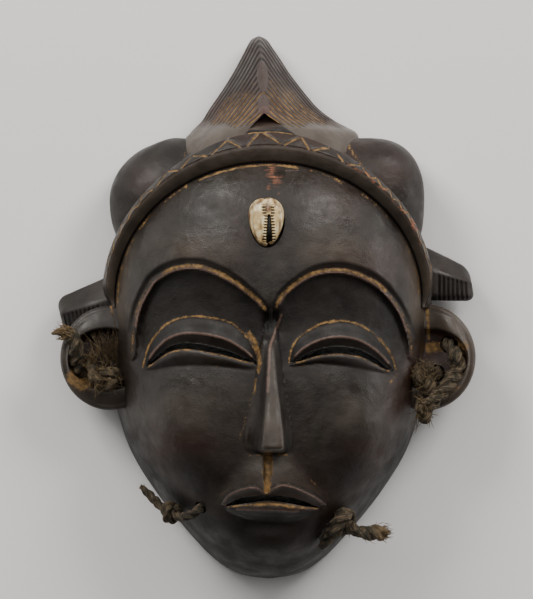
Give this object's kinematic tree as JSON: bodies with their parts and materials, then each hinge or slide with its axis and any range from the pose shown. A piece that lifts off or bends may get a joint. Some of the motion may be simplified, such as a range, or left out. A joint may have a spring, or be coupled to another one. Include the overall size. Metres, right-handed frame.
{
  "type": "terracotta face mask",
  "caption": "West African terracotta face mask with closed eyes, a grooved crest, rounded lobes of hair, side tresses, pierced ears, a cowrie in the forehead and short knotted cords.",
  "frame": {"origin": "middle of the back rim's plane, at the centre of the mask's outline without its cords", "axes": "+Z out of the face, away from the back rim; +Y from the chin toward the crest; +X toward the right-hand ear as seen from the front"},
  "size_m": [0.2081, 0.2678, 0.0923],
  "materials": {
    "terracotta": "dark brown-black satin patina with ochre in the recesses",
    "cowrie_shell": "smooth cream shell",
    "plant_fibre": "rough twisted fibre, frayed at the ends"
  },
  "bodies": {
    "root": {"mask": "terracotta", "cowrie": "cowrie_shell", "cord_ear_left": "plant_fibre", "cord_ear_right": "plant_fibre", "cord_jaw_left": "plant_fibre", "cord_jaw_right": "plant_fibre", "cord_jaw_right_end": "plant_fibre", "knot_ear_left": "plant_fibre", "knot_ear_right": "plant_fibre", "knot_jaw_left": "plant_fibre", "knot_jaw_right": "plant_fibre", "stop_jaw_left": "plant_fibre", "stop_jaw_right": "plant_fibre"}
  },
  "joints": []
}
